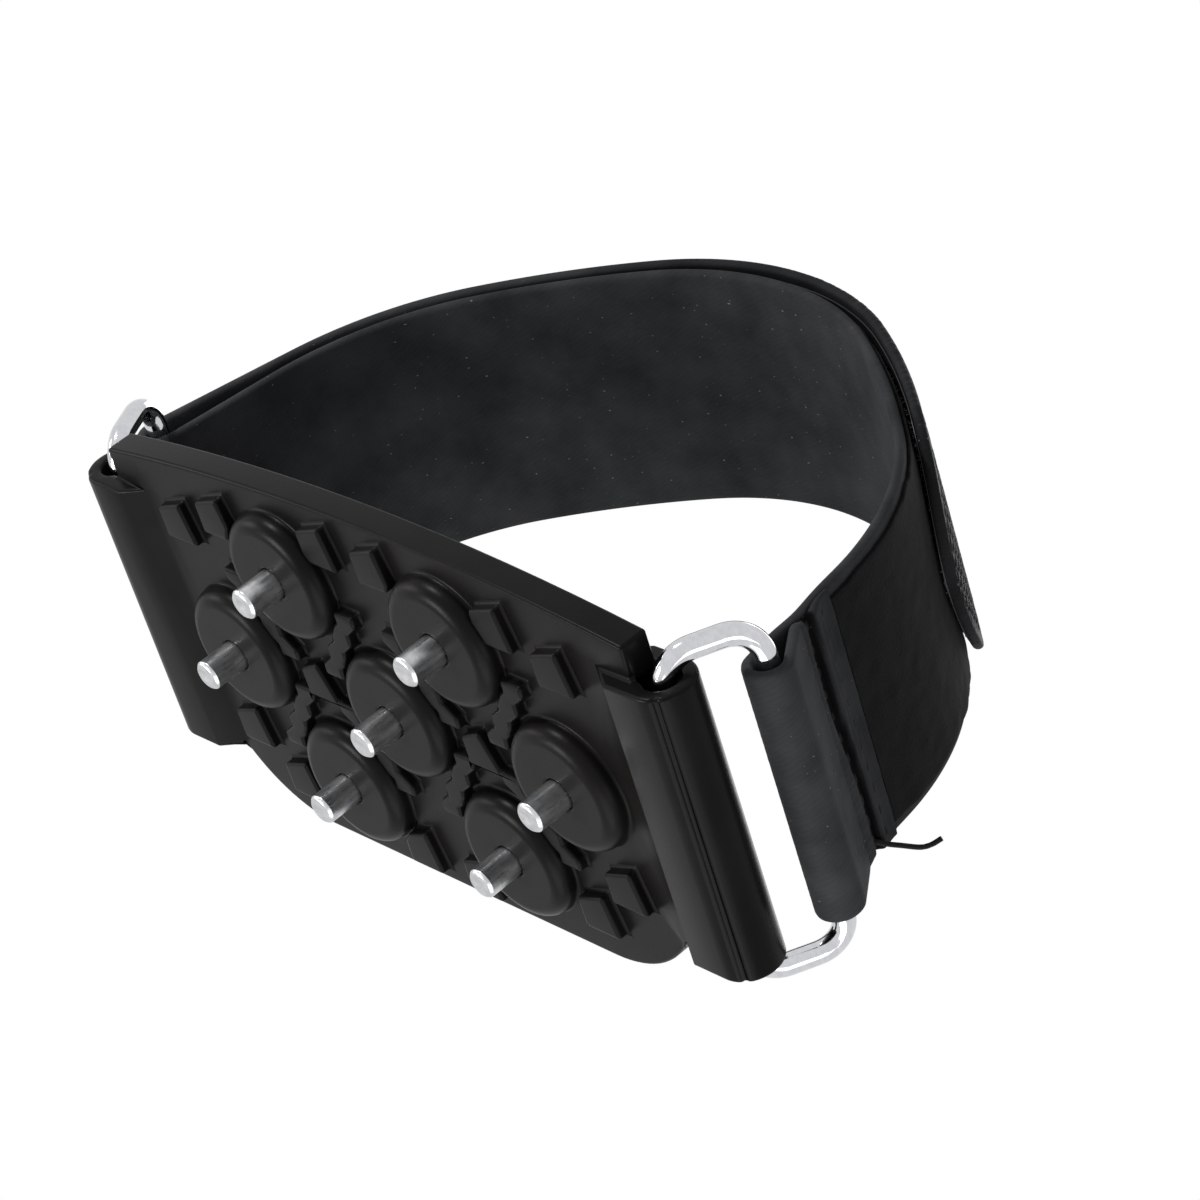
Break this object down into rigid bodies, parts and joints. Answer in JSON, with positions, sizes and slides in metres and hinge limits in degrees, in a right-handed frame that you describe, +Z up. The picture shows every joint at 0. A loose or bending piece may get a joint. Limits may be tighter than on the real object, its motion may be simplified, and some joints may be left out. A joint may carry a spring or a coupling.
{
  "type": "mini crampon",
  "caption": "Strap-on mini crampon: a studded rubber tread plate with wire rings hinged in its end sleeves and a hook-and-loop strap that closes over the forefoot.",
  "frame": {"origin": "on the ground under the centre stud, midway between the two rings", "axes": "+X across the foot to the anchor ring, -Y to the toe, +Z up from the ground to the sole seat"},
  "size_m": [0.1168, 0.055, 0.0814],
  "materials": {
    "tread_rubber": "moulded, matt",
    "stud_steel": "zinc plated",
    "ring_nickel": "polished",
    "webbing": "woven, slight sheen",
    "loop_pile": "brushed pile",
    "hook_tape": "woven with moulded hooks",
    "sewing_thread": "twisted thread"
  },
  "bodies": {
    "plate": {"tread_plate": "tread_rubber", "stud_toe_left": "stud_steel", "stud_toe_right": "stud_steel", "stud_mid_left": "stud_steel", "stud_centre": "stud_steel", "stud_mid_right": "stud_steel", "stud_heel_left": "stud_steel", "stud_heel_right": "stud_steel"},
    "anchor_ring": {"anchor_ring": "ring_nickel"},
    "strap": {"strap_body": "webbing", "strap_fold": "webbing", "loop_tape": "loop_pile", "anchor_seam_lower": "sewing_thread", "anchor_seam_upper": "sewing_thread"},
    "tail": {"strap_tail": "webbing", "hook_tape": "hook_tape"},
    "slip_ring": {"slip_ring": "ring_nickel"}
  },
  "joints": [
    {"name": "anchor_ring_swing", "type": "hinge", "parent": "plate", "child": "anchor_ring", "pos_m": [0.0497, 0, 0.0096], "axis": [0, 1, 0], "range_deg": [0, 60], "deforming": ["strap_fold"]},
    {"name": "strap_swing", "type": "hinge", "parent": "anchor_ring", "child": "strap", "pos_m": [0.0554, 0, 0.01947], "axis": [0, 1, 0], "range_deg": [0, 50], "deforming": ["strap_fold"]},
    {"name": "tail_peel", "type": "hinge", "parent": "strap", "child": "tail", "pos_m": [-0.0554, 0, 0.01947], "axis": [0, -1, 0], "range_deg": [0, 110], "deforming": ["strap_fold"]},
    {"name": "slip_ring_swing", "type": "hinge", "parent": "plate", "child": "slip_ring", "pos_m": [-0.0497, 0, 0.0096], "axis": [0, -1, 0], "range_deg": [0, 60], "deforming": ["strap_fold"]}
  ]
}
